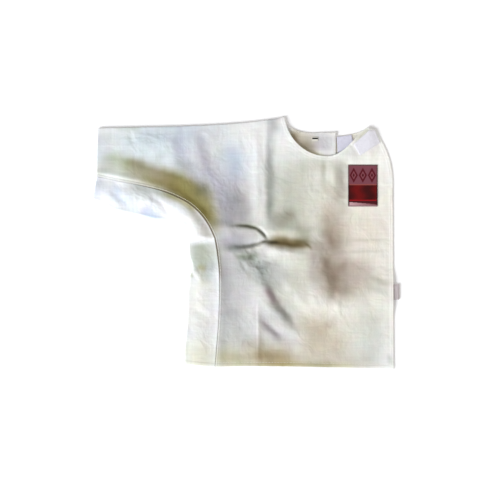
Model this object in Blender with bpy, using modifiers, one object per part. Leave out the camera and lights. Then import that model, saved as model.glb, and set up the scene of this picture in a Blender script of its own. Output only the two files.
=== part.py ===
"""Fencing underarm protector: a half jacket of thick white cloth, laid flat on its back.

The front, with the front of the sleeve, lies on the half back. A panel folded round the side
joins the two from the cuff, under the arm, to the hem. Tables and sizes are in millimetres, with
+X to the wearer's left, +Y towards the neck and +Z up from the surface the garment lies on.
"""
import math
from collections import namedtuple

import bmesh
import bpy
from mathutils import Vector

MM = 0.001

# Cloth and trimmings
CLOTH = 2.2  # two layers of dense cotton and polyester, quilted flat
STRAP_CLOTH = 1.5
TAPE = 1.1
TAPE_WIDTH = 38.0
ELASTIC = 1.2
ELASTIC_WIDTH = 35.0
LABEL = 0.6
PATCH = 0.9
CLEARANCE = 0.3  # between pieces that lie on each other
SEAM_GAP = 0.4  # between the edges that a seam joins
ON_BACK = CLOTH + CLEARANCE  # lowest the front may lie over the back

# Corners of the front
CUFF_TOP = (-340.5, 264.0)
NECK_POINT = (88.0, 289.6)
NECK_BOTTOM = (186.0, 199.8)
FAR_NECK = (276.7, 266.3)
FAR_SHOULDER = (296.7, 261.1)
SIDE_TOP = (336.5, 122.0)
HEM_SIDE = (339.0, -289.6)

# Corners of the back
BACK_NECK_END = (206.0, 255.0)
BACK_HEM_END = (184.0, -279.0)

# Waist elastic and the strap behind the neck
WAIST_Y = -112.0
WAIST_ON_BACK = 168.0
WAIST_OFF_BACK = 206.0
WAIST_ON_TABLE = 232.0
WAIST_TURN = 351.4
WAIST_SEWN = 312.0
NECK_STRAP = ((178.0, 226.0), (212.0, 225.5), (248.0, 229.0), (278.0, 243.0))
HOOK_FROM = 0.30  # share of the strap's length where the hook tape starts and stops
HOOK_TO = 0.66

# Patch and labels: left, bottom, right, top
CHEST_PATCH = (233.7, 84.0, 301.3, 180.0)
SIZE_LABEL = (151.0, 234.5, 165.0, 244.0)
LOOP_TAPE = [(246.5, 227.5), (261.0, 201.0), (308.0, 231.0), (295.5, 259.0), (282.0, 259.0)]

# The underarm panel, one row for each section from the cuff to the hem: where its seam with the
# front lies, where its outer fold lies, how far its upper layer swells and the radius of the fold
Section = namedtuple("Section", "name seam_x seam_y fold_x fold_y swell radius")
SECTIONS = [
    Section("cuff", -343.0, 153.0, -350.8, 100.0, 2.5, 2.6),
    Section("forearm", -288.0, 141.5, -300.0, 76.0, 3.0, 2.8),
    Section("mid_arm", -233.0, 130.5, -244.0, 63.5, 3.5, 3.0),
    Section("upper_arm", -182.0, 116.5, -193.0, 52.5, 3.5, 3.2),
    Section("arm_root", -136.0, 94.5, -160.0, 45.5, 4.0, 3.4),
    Section("armpit_top", -108.5, 71.5, -144.0, 42.0, 4.5, 3.6),
    Section("armpit", -88.0, 45.0, -141.5, 30.0, 5.0, 3.8),
    Section("tuck_upper", -74.0, 17.0, -141.5, 15.0, 5.5, 3.8),
    Section("tuck_lower", -71.0, 7.0, -134.0, 7.0, 0.4, 2.0),
    Section("rib", -66.5, -20.0, -130.0, -28.0, 0.6, 2.0),
    Section("side_dip", -62.5, -58.0, -123.5, -54.0, 1.0, 2.2),
    Section("side_fold", -61.8, -90.0, -132.5, -90.0, 3.5, 2.8),
    Section("waist", -62.0, -132.0, -135.0, -132.0, 3.0, 2.8),
    Section("hip", -64.0, -185.0, -136.5, -185.0, 2.5, 2.6),
    Section("low_hip", -68.0, -236.0, -141.5, -237.0, 2.5, 2.6),
    Section("hem", -72.0, -284.0, -143.0, -277.0, 2.0, 2.4),
]
ROWS_PER_SECTION = 3
UPPER_COLUMNS = 7
FOLD_COLUMNS = 4
LOWER_COLUMNS = 2

# Folds of the front. Each runs from start to end, bowed to its left by bow. Height is above or
# below the swell of the cloth, left and right are how far it spreads to each side, and peak is
# the share of its length where it is strongest
Fold = namedtuple("Fold", "name x0 y0 x1 y1 bow height left right peak")
FRONT_FOLDS = [
    Fold("sleeve_swell", -420, 222, -72, 108, 26, 3.2, 60, 26, 0.55),
    Fold("sleeve_crease", -153, 268, -150, 150, 0, -2.5, 9, 9, 0.4),
    Fold("shoulder_crease", -108, 270, -72, 165, 0, -2.0, 13, 13, 0.4),
    Fold("armpit_trough", -250, 150, -74, 40, 22, -3.6, 16, 16, 0.65),
    Fold("chest_crest", 25, 285, 25, 25, 0, 2.5, 10, 38, 0.5),
    Fold("chest_valley", 49, 245, 49, 28, 0, -3.5, 26, 10, 0.5),
    Fold("pinch_upper_crease", -50, 42, 47, 7, 12, -4.5, 7, 7, 0.75),
    Fold("pinch_lower_crease", -46, 0, 47, 7, -9, -3.5, 7, 7, 0.75),
    Fold("pinch_lens", -76, 17, 38, 9, 0, 3.5, 11, 11, 0.65),
    Fold("pinch_wedge", 36, 9, 160, -12, 0, -6.5, 13, 7, 0.22),
    Fold("ridge_over_wedge", 40, 28, 170, 16, 3, 4.0, 15, 11, 0.3),
    Fold("ridge_under_wedge", 45, -19, 185, -42, 3, 4.0, 10, 26, 0.3),
    Fold("belly_trough", 30, -52, 135, -212, -10, -5.0, 11, 15, 0.5),
    Fold("belly_ridge", 60, -40, 178, -176, -6, 3.5, 28, 13, 0.5),
    Fold("low_trough", 34, -168, 90, -220, -3, -3.0, 9, 9, 0.5),
    Fold("side_trough", 178, 112, 196, -142, 0, -4.0, 32, 9, 0.6),
    Fold("side_dent", 226, -38, 290, -126, 0, -2.5, 26, 26, 0.5),
    Fold("hem_swell", -60, -214, 170, -236, 0, 4.0, 38, 20, 0.5),
    Fold("far_side_swell", 300, 150, 306, -250, 0, 1.5, 22, 40, 0.5),
]
UNDERARM_FOLDS = [
    Fold("cuff_wrinkle", -320, 132, -262, 78, 0, -2.6, 9, 9, 0.5),
    Fold("arm_wrinkle", -236, 120, -166, 60, 4, -3.0, 9, 9, 0.5),
    Fold("side_crease", -128, -52, -98, -88, 0, 1.8, 5, 6, 0.5),
    Fold("waist_wrinkle", -132, -150, -84, -168, 0, -1.6, 9, 9, 0.5),
]
SWELL = 2.2  # how far the upper layer stands off the lower one, away from its seams
SEAM_RISE = 42.0  # distance from a seam over which it rises to that
BELLY = (150.0, -20.0, 3.0, 170.0)  # centre, extra height and reach of the broad swell

# What lies under the front: left, bottom, right, top of each piece and the height it needs
Support = namedtuple("Support", "name left bottom right top height")
FRONT_SUPPORTS = [
    Support("waist_elastic_on_back", 162, -131, 208, -93, 4.2),
    Support("waist_elastic", 200, -131, 352, -93, 1.7),
    Support("waist_elastic_end", 308, -131, 352, -93, 3.7),
    Support("neck_strap_and_tape", 196, 200, 284, 262, 3.4),
]
BACK_SUPPORTS = [Support("neck_strap_end", 174, 203, 206, 249, STRAP_CLOTH + CLEARANCE)]
SUPPORT_REACH = 24.0  # distance over which cloth comes down beside what lifts it
BACK_STEP = 26.0  # the same, beside the free edge of the back

# Spacing of the facets: coarse over the panel, fine where the cloth is pinched
COARSE = 16.0
FINE = 9.0
FINE_X = (-54.0, 172.0)
FINE_Y = (-52.0, 48.0)
SPAN_X = (-352.0, 352.0)
SPAN_Y = (-290.0, 290.0)
SNAP = 0.6  # a cut closer than this to a corner goes through it


def bezier(corners, t):
    """A point of the Bezier curve given by a start, two handles and an end."""
    weights = ((1 - t) ** 3, 3 * t * (1 - t) ** 2, 3 * t * t * (1 - t), t ** 3)
    return Vector([sum(w * c[k] for w, c in zip(weights, corners)) for k in (0, 1)])


def curve(start, handle_a, handle_b, end, steps):
    """Points of a Bezier curve from start, up to but not including its end."""
    corners = (start, handle_a, handle_b, end)
    return [tuple(bezier(corners, i / steps)) for i in range(steps)]


def spline_value(values, place):
    """A smooth curve through evenly spaced values, read at a place counted in rows."""
    i = min(int(place), len(values) - 2)
    t = place - i
    a, b = values[i], values[i + 1]
    before = values[i - 1] if i else 2 * a - b
    after = values[i + 2] if i + 2 < len(values) else 2 * b - a
    bend = 2 * a + (b - before) * t
    bend += (2 * before - 5 * a + 4 * b - after) * t * t
    bend += (3 * a - before - 3 * b + after) * t ** 3
    return bend / 2


def straight_value(values, place):
    """Straight lines between evenly spaced values, read at a place counted in rows."""
    i = min(int(place), len(values) - 2)
    return values[i] + (values[i + 1] - values[i]) * (place - i)


def ramp(value, start, end):
    """Eases from 0 at start to 1 at end."""
    t = max(0.0, min(1.0, (value - start) / (end - start)))
    return t * t * (3 - 2 * t)


def near(point, line):
    """Distance from a point to a line of points, signed positive on the line's left, and the
    share of the line's points passed."""
    best = (1e9, 0.0, 0.0)
    px, py = point
    for i in range(len(line) - 1):
        ax, ay = line[i]
        dx, dy = line[i + 1][0] - ax, line[i + 1][1] - ay
        length2 = dx * dx + dy * dy
        t = max(0.0, min(1.0, ((px - ax) * dx + (py - ay) * dy) / length2))
        gap = math.hypot(px - ax - t * dx, py - ay - t * dy)
        if gap < best[0]:
            side = dx * (py - ay) - dy * (px - ax)
            best = (gap, math.copysign(gap, side), (i + t) / (len(line) - 1))
    return best[1], best[2]


def fold_line(fold, steps=12):
    """The line a fold follows: a shallow arc from its start to its end."""
    dx, dy = fold.x1 - fold.x0, fold.y1 - fold.y0
    length = math.hypot(dx, dy)
    points = []
    for i in range(steps + 1):
        t = i / steps
        out = fold.bow * 4 * t * (1 - t) / length
        points.append((fold.x0 + dx * t - dy * out, fold.y0 + dy * t + dx * out))
    return points


def fold_heights(folds):
    """A function of x and y that adds up the heights of the folds in a table."""
    lines = [(fold, fold_line(fold)) for fold in folds]

    def height(x, y):
        total = 0.0
        for fold, line in lines:
            away, share = near((x, y), line)
            spread = fold.left if away > 0 else fold.right
            if abs(away) > 3 * spread:
                continue
            along = ramp(share, 0, fold.peak) * ramp(1 - share, 0, 1 - fold.peak)
            total += fold.height * along * math.exp(-((away / spread) ** 2))
        return total

    return height


def lift_over(supports, x, y):
    """Height that what lies beneath asks for at x and y."""
    height = 0.0
    for s in supports:
        away = math.hypot(max(s.left - x, 0, x - s.right), max(s.bottom - y, 0, y - s.top))
        height = max(height, s.height * (1 - ramp(away, 0, SUPPORT_REACH)))
    return height


def section_rows():
    """The table's sections and the ones between them, as rows of the same kind."""
    columns = list(zip(*SECTIONS))
    rows = []
    for i in range((len(SECTIONS) - 1) * ROWS_PER_SECTION + 1):
        place = i / ROWS_PER_SECTION
        smooth = [spline_value(column, place) for column in columns[1:5]]
        plain = [straight_value(column, place) for column in columns[5:7]]
        rows.append(Section(f"row_{i}", *smooth, *plain))
    return rows


ROWS = section_rows()
SEAM = [(row.seam_x, row.seam_y) for row in ROWS]
SHOULDER = curve(CUFF_TOP, (-200, 268), (-30, 266), NECK_POINT, 12) + [NECK_POINT]
BACK_FREE_EDGE = curve(BACK_NECK_END, (204, 60), (200, -120), BACK_HEM_END, 10) + [BACK_HEM_END]
front_folds = fold_heights(FRONT_FOLDS)
underarm_folds = fold_heights(UNDERARM_FOLDS)


def front_lift(x, y):
    """Height of the underside of the front."""
    past_back = near((x, y), BACK_FREE_EDGE)[0]
    base = ON_BACK * (1 - ramp(past_back, 1, BACK_STEP))
    base = max(base, lift_over(FRONT_SUPPORTS, x, y))
    from_seam = min(abs(near((x, y), SEAM)[0]), abs(near((x, y), SHOULDER)[0]))
    rise = ramp(from_seam, 0, SEAM_RISE)
    centre_x, centre_y, extra, reach = BELLY
    belly = extra * math.exp(-(math.hypot(x - centre_x, y - centre_y) / reach) ** 2)
    free = 1 - 0.75 * ramp(x, 215, 325)  # the far side lies down on the surface
    loose = (SWELL + belly) * free + front_folds(x, y)
    return base + rise * max(0.0, loose)


def back_lift(x, y):
    """Height of the underside of the back: flat but for the strap end sewn beneath it."""
    return lift_over(BACK_SUPPORTS, x, y)


def facet_lines(span, fine):
    """Places of the cuts across a panel: fine in the pinched stretch and coarse elsewhere."""
    lines = []
    for start, end, step in ((span[0], fine[0], COARSE), (*fine, FINE), (fine[1], span[1], COARSE)):
        count = max(1, round((end - start) / step))
        lines += [start + (end - start) * i / count for i in range(count)]
    return lines[1:]


FACETS_X = facet_lines(SPAN_X, FINE_X)
FACETS_Y = facet_lines(SPAN_Y, FINE_Y)


def cloth_material(name, colour, roughness):
    """A plain cloth finish."""
    material = bpy.data.materials.new(name)
    material.use_nodes = True
    shader = material.node_tree.nodes["Principled BSDF"]
    shader.inputs["Base Color"].default_value = (*colour, 1)
    shader.inputs["Roughness"].default_value = roughness
    shader.inputs["Metallic"].default_value = 0
    return material


def add_object(name, mesh, material, collection):
    """An object of that mesh, in the garment's collection."""
    piece = bpy.data.objects.new(name, mesh)
    mesh.materials.append(material)
    collection.objects.link(piece)
    return piece


def cut(bm, point, across, trim=False):
    """Cuts every face along a straight line, and with trim drops what lies beyond it."""
    everything = bm.verts[:] + bm.edges[:] + bm.faces[:]
    bmesh.ops.bisect_plane(bm, geom=everything, dist=(0.01 if trim else SNAP) * MM,
                           plane_co=Vector((*point, 0)) * MM, plane_no=Vector((*across, 0)),
                           clear_outer=trim)


def thicken(bm, thickness):
    """Gives a sheet its wall, straight up from the sheet as it lies."""
    raised = bmesh.ops.extrude_face_region(bm, geom=bm.faces[:])["geom"]
    for vertex in raised:
        if isinstance(vertex, bmesh.types.BMVert):
            vertex.co.z += thickness * MM


def finish_mesh(bm, name):
    """A mesh of triangles, its faces turned outwards."""
    bmesh.ops.recalc_face_normals(bm, faces=bm.faces[:])
    bmesh.ops.triangulate(bm, faces=bm.faces[:])
    mesh = bpy.data.meshes.new(name)
    bm.to_mesh(mesh)
    bm.free()
    return mesh


def panel(name, outline, thickness, lift, material, collection, x_lines=(), y_lines=()):
    """A piece of cloth cut to an outline, its underside at the height that lift gives."""
    bm = bmesh.new()
    corners = [bm.verts.new((x * MM, y * MM, 0)) for x, y in outline]
    bm.faces.new(corners)
    for x in x_lines:
        cut(bm, (x, 0), (1, 0))
    for y in y_lines:
        cut(bm, (0, y), (0, 1))
    thicken(bm, thickness)
    for vertex in bm.verts:
        vertex.co.z += lift(vertex.co.x / MM, vertex.co.y / MM) * MM
    return add_object(name, finish_mesh(bm, name), material, collection)


def laid_on(name, base, outline, thickness, material, collection):
    """A flat piece sewn on a panel: the panel's own upper facets, trimmed and moved out."""
    bm = bmesh.new()
    bm.from_mesh(base.data)
    under = [face for face in bm.faces if face.normal.z < 0.3]
    bmesh.ops.delete(bm, geom=under, context="FACES")
    for (ax, ay), (bx, by) in zip(outline, outline[1:] + outline[:1]):
        cut(bm, (ax, ay), (by - ay, ax - bx), trim=True)
    thicken(bm, thickness)
    for vertex in bm.verts:
        vertex.co.z += CLEARANCE * MM
    return add_object(name, finish_mesh(bm, name), material, collection)


def inside(lines, low, high):
    """The cuts that fall between two places."""
    return [place for place in lines if low < place < high]


def front_outline():
    """Round the front: shoulder, neck, far shoulder, side, hem and underarm seam."""
    edge = SHOULDER[:-1]
    edge += curve(NECK_POINT, (95, 238), (136, 199.8), NECK_BOTTOM, 10)
    edge += curve(NECK_BOTTOM, (220, 199.8), (240, 234), FAR_NECK, 8)
    edge += [FAR_NECK]
    edge += curve(FAR_SHOULDER, (314, 228), (340, 196), SIDE_TOP, 9)
    edge += [SIDE_TOP]
    edge += curve(HEM_SIDE, (200, -285), (60, -280), SEAM[-1], 6)
    return edge + SEAM[::-1]


def back_outline():
    """Round the back: shoulder, neck, free edge, hem and underarm seam."""
    edge = SHOULDER[:-1]
    edge += curve(NECK_POINT, (98, 256), (130, 250), BACK_NECK_END, 10)
    return edge + BACK_FREE_EDGE + SEAM[::-1]


def make_front(material, collection):
    """The front, with the front of the sleeve."""
    return panel("front", front_outline(), CLOTH, front_lift, material, collection,
                 FACETS_X, FACETS_Y)


def make_back(material, collection):
    """The half back, with the back of the sleeve, flat on the surface."""
    reach = BACK_SUPPORTS[0]
    return panel("back", back_outline(), CLOTH, back_lift, material, collection,
                 inside(FACETS_X, reach.left - 30, reach.right),
                 inside(FACETS_Y, reach.bottom - 30, reach.top + 30))


def underarm_profile(row):
    """One section of the folded panel: seam, upper layer, outer fold, lower layer, seam."""
    seam, fold = Vector((row.seam_x, row.seam_y)), Vector((row.fold_x, row.fold_y))
    width = (fold - seam).length - CLOTH / 2
    out = (fold - seam).normalized()
    seam_z = ON_BACK + CLOTH / 2
    low_z = CLOTH / 2
    fold_z = low_z + 2 * row.radius
    flat = width - row.radius
    points = []
    for i in range(UPPER_COLUMNS):
        share = i / UPPER_COLUMNS
        place = seam + out * (SEAM_GAP + (flat - SEAM_GAP) * share)
        rise = row.swell * math.sin(math.pi * share) ** 2
        wrinkle = underarm_folds(place.x, place.y) * ramp(share, 0, 0.3)
        height = seam_z + (fold_z - seam_z) * ramp(share, 0, 1) + max(rise + wrinkle, 0)
        points.append((place.x, place.y, height))
    for i in range(FOLD_COLUMNS + 1):
        turn = math.pi * i / FOLD_COLUMNS
        place = seam + out * (flat + row.radius * math.sin(turn))
        points.append((place.x, place.y, low_z + row.radius * (1 + math.cos(turn))))
    for i in range(1, LOWER_COLUMNS + 1):
        place = seam + out * (flat + (SEAM_GAP - flat) * i / LOWER_COLUMNS)
        points.append((place.x, place.y, low_z))
    return points


def make_underarm_panel(material, collection):
    """The one-piece panel under the arm, an open surface given its wall by Solidify."""
    bm = bmesh.new()
    grid = []
    for row in ROWS:
        grid.append([bm.verts.new(Vector(p) * MM) for p in underarm_profile(row)])
    for upper, lower in zip(grid, grid[1:]):
        for i in range(len(upper) - 1):
            bm.faces.new((upper[i], upper[i + 1], lower[i + 1], lower[i]))
    mesh = bpy.data.meshes.new("underarm_panel")
    bm.to_mesh(mesh)
    bm.free()
    piece = add_object("underarm_panel", mesh, material, collection)
    wall = piece.modifiers.new("wall", "SOLIDIFY")
    wall.thickness = CLOTH * MM
    wall.offset = 0
    return piece


def strap_side(share, side):
    """A point on an edge of the strap behind the neck: side is 1 on its upper edge."""
    here = bezier(NECK_STRAP, share)
    along = (bezier(NECK_STRAP, share + 0.01) - here).normalized()
    return tuple(here + Vector((-along.y, along.x)) * side * TAPE_WIDTH / 2)


def strap_outline(start, end, inset, steps=6):
    """Round a stretch of the strap, from one share of its length to another."""
    shares = [start + (end - start) * i / steps for i in range(steps + 1)]
    side = 1 - 2 * inset / TAPE_WIDTH
    return [strap_side(s, side) for s in shares] + [strap_side(s, -side) for s in shares[::-1]]


def make_neck_strap(cloth, tape, collection):
    """The strap behind the neck, with its hook tape."""
    panel("neck_strap", strap_outline(0, 1, 0), STRAP_CLOTH, lambda x, y: 0, cloth, collection)
    on_strap = STRAP_CLOTH + CLEARANCE
    panel("hook_tape", strap_outline(HOOK_FROM, HOOK_TO, 0.8), TAPE, lambda x, y: on_strap,
          tape, collection)


def rectangle(left, bottom, right, top):
    """Corners of a rectangle."""
    return [(left, bottom), (right, bottom), (right, top), (left, top)]


def waist_path():
    """The elastic seen from the hem: x and height along its middle, from the back to its end."""
    on_back = ON_BACK + ELASTIC / 2
    on_table = ELASTIC / 2
    radius = 1.0
    path = [(WAIST_ON_BACK, on_back), (WAIST_OFF_BACK, on_back)]
    steps = 4
    for i in range(1, steps + 1):
        x = WAIST_OFF_BACK + (WAIST_ON_TABLE - WAIST_OFF_BACK) * i / steps
        path.append((x, on_back + (on_table - on_back) * ramp(i, 0, steps)))
    turn_x = WAIST_TURN - ELASTIC / 2 - radius
    for i in range(2 * steps + 1):
        turn = math.pi * i / (2 * steps)
        path.append((turn_x + radius * math.sin(turn), on_table + radius * (1 - math.cos(turn))))
    return path + [(WAIST_SEWN, on_table + 2 * radius)]


def make_waist_strap(material, collection):
    """The elastic round the waist, turned back on itself where it is sewn to the front."""
    bm = bmesh.new()
    low = WAIST_Y - ELASTIC_WIDTH / 2
    edge = [bm.verts.new((x * MM, low * MM, z * MM)) for x, z in waist_path()]
    lines = [bm.edges.new(pair) for pair in zip(edge, edge[1:])]
    woven = bmesh.ops.extrude_edge_only(bm, edges=lines)["geom"]
    for vertex in woven:
        if isinstance(vertex, bmesh.types.BMVert):
            vertex.co.y += ELASTIC_WIDTH * MM
    mesh = bpy.data.meshes.new("waist_strap")
    bm.to_mesh(mesh)
    bm.free()
    piece = add_object("waist_strap", mesh, material, collection)
    wall = piece.modifiers.new("wall", "SOLIDIFY")
    wall.thickness = ELASTIC * MM
    wall.offset = 0
    return piece


def main():
    """Clears the scene and makes every piece."""
    for old in list(bpy.data.objects):
        bpy.data.objects.remove(old)
    garment = bpy.data.collections.new("fencing_underarm_protector")
    bpy.context.scene.collection.children.link(garment)
    white = cloth_material("white_cloth", (0.80, 0.80, 0.78), 0.85)
    tape = cloth_material("hook_and_loop", (0.76, 0.75, 0.82), 0.7)
    elastic = cloth_material("elastic", (0.48, 0.43, 0.44), 0.75)
    patch = cloth_material("woven_patch", (0.12, 0.02, 0.02), 0.6)
    label = cloth_material("woven_label", (0.85, 0.85, 0.83), 0.7)
    back = make_back(white, garment)
    front = make_front(white, garment)
    make_underarm_panel(white, garment)
    make_neck_strap(white, tape, garment)
    make_waist_strap(elastic, garment)
    laid_on("loop_tape", front, LOOP_TAPE, TAPE, tape, garment)
    laid_on("chest_patch", front, rectangle(*CHEST_PATCH), PATCH, patch, garment)
    laid_on("size_label", back, rectangle(*SIZE_LABEL), LABEL, label, garment)


main()
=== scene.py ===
"""Fencing underarm protector laid flat on its back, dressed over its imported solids.

Tables and named sizes are in millimetres, as a cutter would note them, and meshes in metres.
Only the front's shades are in pixels of the photograph, and a function turns them.
+X is the wearer's left, +Y towards the neck and +Z up from the surface the garment lies on.
"""
import math
from collections import namedtuple

import bmesh
import bpy
import numpy as np
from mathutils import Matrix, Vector
from mathutils.geometry import delaunay_2d_cdt


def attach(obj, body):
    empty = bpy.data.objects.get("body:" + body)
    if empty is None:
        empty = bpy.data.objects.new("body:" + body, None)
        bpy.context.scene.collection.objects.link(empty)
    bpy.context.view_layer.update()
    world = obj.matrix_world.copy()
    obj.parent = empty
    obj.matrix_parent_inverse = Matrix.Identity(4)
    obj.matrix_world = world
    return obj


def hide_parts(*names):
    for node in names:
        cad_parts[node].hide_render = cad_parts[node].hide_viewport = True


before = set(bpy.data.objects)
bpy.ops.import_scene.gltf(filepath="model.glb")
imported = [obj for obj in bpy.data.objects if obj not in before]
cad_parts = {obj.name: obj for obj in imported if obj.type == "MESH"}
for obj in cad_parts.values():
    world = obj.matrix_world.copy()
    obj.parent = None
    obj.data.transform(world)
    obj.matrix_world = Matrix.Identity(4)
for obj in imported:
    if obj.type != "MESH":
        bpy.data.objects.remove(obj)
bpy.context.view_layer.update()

# Front. One piece of dense white cotton and polyester cloth with the front of the sleeve cut
# in one with it. Two layers are quilted flat, the neck, side and hem are turned and stitched,
# and it lies on the back, swelling where the cloth is slack and pinched below the armpit.
CLOTH = 2.2
CLEARANCE = 0.3
ON_BACK = CLOTH + CLEARANCE
CUFF_TOP = (-340.5, 264.0)
NECK_POINT = (88.0, 289.6)
NECK_BOTTOM = (186.0, 199.8)
FAR_NECK = (276.7, 266.3)
FAR_SHOULDER = (296.7, 261.1)
SIDE_TOP = (336.5, 122.0)
HEM_SIDE = (339.0, -289.6)
BACK_NECK_END = (206.0, 255.0)
BACK_HEM_END = (184.0, -279.0)
SEAM_CORNERS = [
    (-343, 153), (-288, 141.5), (-233, 130.5), (-182, 116.5), (-136, 94.5), (-108.5, 71.5),
    (-88, 45), (-74, 17), (-71, 7), (-66.5, -20), (-62.5, -58), (-61.8, -90), (-62, -132),
    (-64, -185), (-68, -236), (-72, -284),
]


def ramp(value, start, end):
    """Eases from 0 at start to 1 at end."""
    t = np.clip((value - start) / (end - start), 0, 1)
    return t * t * (3 - 2 * t)


def bezier(start, handle_a, handle_b, end, steps):
    """Points of a Bezier curve, both ends included."""
    t = np.linspace(0, 1, steps + 1)[:, None]
    a, b, c, d = (np.array(corner, float) for corner in (start, handle_a, handle_b, end))
    return a * (1 - t) ** 3 + 3 * b * t * (1 - t) ** 2 + 3 * c * t * t * (1 - t) + d * t ** 3


def spline(values, places):
    """A smooth curve through evenly spaced values, read at places counted in rows."""
    values = np.asarray(values, float)
    i = np.clip(places.astype(int), 0, len(values) - 2)
    t = places - i
    a, b = values[i], values[i + 1]
    before = np.where(i > 0, values[np.maximum(i - 1, 0)], 2 * a - b)
    after = np.where(i + 2 < len(values), values[np.minimum(i + 2, len(values) - 1)], 2 * b - a)
    bend = 2 * a + (b - before) * t + (2 * before - 5 * a + 4 * b - after) * t * t
    return (bend + (3 * a - before - 3 * b + after) * t ** 3) / 2


def beside(x, y, line):
    """Distance of each point from a line, positive on the line's left, and the share passed."""
    best = np.full(x.shape, 1e9)
    share = np.zeros(x.shape)
    for i, ((ax, ay), (bx, by)) in enumerate(zip(line[:-1], line[1:])):
        dx, dy = bx - ax, by - ay
        t = np.clip(((x - ax) * dx + (y - ay) * dy) / (dx * dx + dy * dy), 0, 1)
        away = np.hypot(x - ax - t * dx, y - ay - t * dy)
        nearer = away < np.abs(best)
        side = np.where(dx * (y - ay) - dy * (x - ax) < 0, -1, 1)
        best = np.where(nearer, away * side, best)
        share = np.where(nearer, (i + t) / (len(line) - 1), share)
    return best, share


# How much of each half of a row it takes to reach its full strength, and how far its line wanders
EASE = 0.75
WANDER = 0.24
WANDER_REACH = 16


def ripple(x, y):
    """A gentle unevenness, from -1 to 1, that keeps folds and painted shades from being too regular.
    """
    slow = np.sin(x / 17 + 1.7 * np.sin(y / 23 + 0.6)) * np.cos(y / 13 + 1.3 * np.sin(x / 31))
    quick = np.sin(x / 6.1 + y / 9.7 + 2.0 * np.sin(y / 15)) * np.cos(x / 11 - y / 5.3)
    return 0.65 * slow + 0.35 * quick


def along_row(x, y, row):
    """How strongly a row of a fold or shade table acts at each point, from 0 to 1."""
    dx, dy = row.x1 - row.x0, row.y1 - row.y0
    t = np.linspace(0, 1, 13)
    out = row.bow * 4 * t * (1 - t) / math.hypot(dx, dy)
    line = np.stack([row.x0 + dx * t - dy * out, row.y0 + dy * t + dx * out], 1)
    away, share = beside(x, y, line)
    spread = np.where(away > 0, row.left, row.right)
    away = away + WANDER * np.minimum(spread, WANDER_REACH) * ripple(x, y)
    ends = ramp(share, 0, EASE * row.peak) * ramp(1 - share, 0, EASE * (1 - row.peak))
    return ends * np.exp(-((away / spread) ** 2))


places = np.linspace(0, len(SEAM_CORNERS) - 1, 8 * (len(SEAM_CORNERS) - 1) + 1)
SEAM = np.stack([spline(column, places) for column in zip(*SEAM_CORNERS)], 1)
SHOULDER = bezier(CUFF_TOP, (-200, 268), (-30, 266), NECK_POINT, 24)
NECK_EDGE = np.concatenate([
    bezier(NECK_POINT, (95, 238), (136, 199.8), NECK_BOTTOM, 24),
    bezier(NECK_BOTTOM, (220, 199.8), (240, 234), FAR_NECK, 20)[1:],
])
SIDE_EDGE = np.concatenate([
    [FAR_SHOULDER], bezier(FAR_SHOULDER, (314, 228), (340, 196), SIDE_TOP, 20)[1:], [HEM_SIDE],
])
FRONT_HEM = bezier(HEM_SIDE, (200, -285), (60, -280), tuple(SEAM[-1]), 16)
BACK_FREE_EDGE = bezier(BACK_NECK_END, (204, 60), (200, -120), BACK_HEM_END, 24)

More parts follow.
